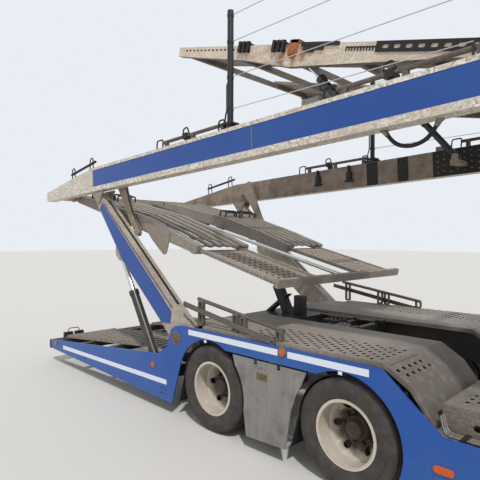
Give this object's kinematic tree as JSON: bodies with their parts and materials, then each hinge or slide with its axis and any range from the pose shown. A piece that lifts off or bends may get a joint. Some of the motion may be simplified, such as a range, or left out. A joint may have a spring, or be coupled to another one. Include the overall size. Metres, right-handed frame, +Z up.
{
  "type": "car transporter trailer",
  "caption": "Centre-axle car transporter trailer with a lifting upper deck on blue swing arms, a tilting rear platform, a raised top tray and twin wheels.",
  "frame": {"origin": "on the ground under the middle of the whole length, on the centre line", "axes": "+X forwards to the drawbar eye, +Y to the left side, +Z up"},
  "size_m": [10.4943, 2.578, 3.8519],
  "materials": {
    "dark_steel": "weathered near-black paint",
    "blue_paint": "gloss blue paint with road dust",
    "white_stripe": "satin reflective tape",
    "black_plastic": "matt",
    "galvanised": "weathered hot-dip galvanising",
    "galvanised_tube": "dulled galvanising",
    "post_paint": "satin dark grey paint",
    "amber_lens": "gloss lens",
    "red_lens": "gloss lens",
    "tyre_rubber": "matt, dusty",
    "rim_paint": "chalky cream-white paint",
    "panel_grey": "brushed, dulled",
    "barrel_paint": "dark grey satin paint",
    "bright_rod": "bright chromed"
  },
  "bodies": {
    "chassis": {"main_rails": "dark_steel", "cross_bearers": "dark_steel", "arm_brackets": "dark_steel", "axle_beams": "dark_steel", "side_skirts": "blue_paint", "side_stripes": "white_stripe", "mudguards": "black_plastic", "hump_deck": "galvanised", "rear_deck": "galvanised", "front_deck": "galvanised", "track_grids": "galvanised", "tail_bar": "dark_steel", "amber_lamps": "amber_lens", "red_lamps": "red_lens", "lower_rails": "galvanised_tube", "platform_props": "dark_steel", "drawbar": "dark_steel", "support_leg": "galvanised"},
    "rear_right_wheels": {"tyres_rear_right": "tyre_rubber", "wheel_rear_right": "rim_paint"},
    "rear_left_wheels": {"tyres_rear_left": "tyre_rubber", "wheel_rear_left": "rim_paint"},
    "front_right_wheels": {"tyres_front_right": "tyre_rubber", "wheel_front_right": "rim_paint"},
    "front_left_wheels": {"tyres_front_left": "tyre_rubber", "wheel_front_left": "rim_paint"},
    "right_door": {"wheel_door_right": "panel_grey"},
    "left_door": {"wheel_door_left": "panel_grey"},
    "rear_arms": {"rear_lift_arms": "galvanised", "rear_arm_panels": "blue_paint"},
    "front_arms": {"front_lift_arms": "galvanised"},
    "lift_barrels": {"lift_barrels": "barrel_paint"},
    "lift_rods": {"lift_rods": "bright_rod"},
    "upper_deck": {"upper_beams": "galvanised", "beam_panels": "blue_paint", "deck_frame": "galvanised", "upper_rails": "galvanised_tube", "guard_posts": "post_paint"},
    "platform": {"platform_frame": "galvanised", "slide_barrel": "barrel_paint"},
    "platform_end": {"platform_end": "galvanised", "end_grids": "galvanised", "slide_rod": "bright_rod"},
    "tray": {"tray_frame": "galvanised", "tray_sides": "galvanised", "tray_edges": "barrel_paint", "tray_tracks": "galvanised"},
    "tray_barrels": {"tray_barrels": "barrel_paint"},
    "tray_rods": {"tray_rods": "bright_rod"}
  },
  "joints": [
    {"name": "rear_right_wheels_spin", "type": "hinge", "parent": "chassis", "child": "rear_right_wheels", "pos_m": [-1.795, 0, 0.3835], "axis": [0, 1, 0], "continuous": true},
    {"name": "rear_left_wheels_spin", "type": "hinge", "parent": "chassis", "child": "rear_left_wheels", "pos_m": [-1.795, 0, 0.3835], "axis": [0, 1, 0], "continuous": true},
    {"name": "front_right_wheels_spin", "type": "hinge", "parent": "chassis", "child": "front_right_wheels", "pos_m": [-0.435, 0, 0.3835], "axis": [0, 1, 0], "continuous": true},
    {"name": "front_left_wheels_spin", "type": "hinge", "parent": "chassis", "child": "front_left_wheels", "pos_m": [-0.435, 0, 0.3835], "axis": [0, 1, 0], "continuous": true},
    {"name": "right_door_open", "type": "hinge", "parent": "chassis", "child": "right_door", "pos_m": [-1.115, -1.257, 0.73], "axis": [-1, 0, 0], "range_deg": [0, 95]},
    {"name": "left_door_open", "type": "hinge", "parent": "chassis", "child": "left_door", "pos_m": [-1.115, 1.257, 0.73], "axis": [1, 0, 0], "range_deg": [0, 95]},
    {"name": "rear_arms_lower", "type": "hinge", "parent": "chassis", "child": "rear_arms", "pos_m": [-2.205, 0, 0.76], "axis": [0, -1, 0], "range_deg": [0, 31]},
    {"name": "front_arms_lower", "type": "hinge", "parent": "chassis", "child": "front_arms", "pos_m": [2.27182, 0, 0.92885], "axis": [0, -1, 0], "range_deg": [0, 31]},
    {"name": "deck_stays_level", "type": "hinge", "parent": "rear_arms", "child": "upper_deck", "pos_m": [-3.81525, 0, 2.18463], "axis": [0, -1, 0], "range_deg": [-31, 0]},
    {"name": "lift_barrels_tilt", "type": "hinge", "parent": "chassis", "child": "lift_barrels", "pos_m": [-2.695, 0, 0.42], "axis": [0, -1, 0], "range_deg": [0, 35.4]},
    {"name": "lift_rods_retract", "type": "slide", "parent": "lift_barrels", "child": "lift_rods", "axis": [0.5413, 0, -0.8408], "range_m": [0, 0.308]},
    {"name": "platform_level", "type": "hinge", "parent": "upper_deck", "child": "platform", "pos_m": [-4.70376, 0, 2.25111], "axis": [0, -1, 0], "range_deg": [0, 17]},
    {"name": "platform_end_slide", "type": "slide", "parent": "platform", "child": "platform_end", "axis": [-0.9681, 0, 0.2504], "range_m": [0, 0.7]},
    {"name": "tray_lower", "type": "hinge", "parent": "upper_deck", "child": "tray", "pos_m": [0.79335, 0, 2.73453], "axis": [0, -1, 0], "range_deg": [0, 16.5]},
    {"name": "tray_barrels_tilt", "type": "hinge", "parent": "upper_deck", "child": "tray_barrels", "pos_m": [-0.50704, 0, 2.55959], "axis": [0, -1, 0], "range_deg": [0, 40.2]},
    {"name": "tray_rods_retract", "type": "slide", "parent": "tray_barrels", "child": "tray_rods", "axis": [0.6369, 0, -0.771], "range_m": [0, 0.238]}
  ],
  "couplings": [
    {"joint": "front_arms_lower", "follows": "rear_arms_lower", "ratio": 1},
    {"joint": "deck_stays_level", "follows": "rear_arms_lower", "ratio": -1},
    {"joint": "lift_barrels_tilt", "follows": "rear_arms_lower", "ratio": 1.1378},
    {"joint": "lift_rods_retract", "follows": "rear_arms_lower", "m_per_rad": 0.5677},
    {"joint": "platform_level", "follows": "rear_arms_lower", "ratio": 0.5374},
    {"joint": "tray_barrels_tilt", "follows": "tray_lower", "ratio": 2.4248},
    {"joint": "tray_rods_retract", "follows": "tray_lower", "m_per_rad": 0.8241}
  ]
}
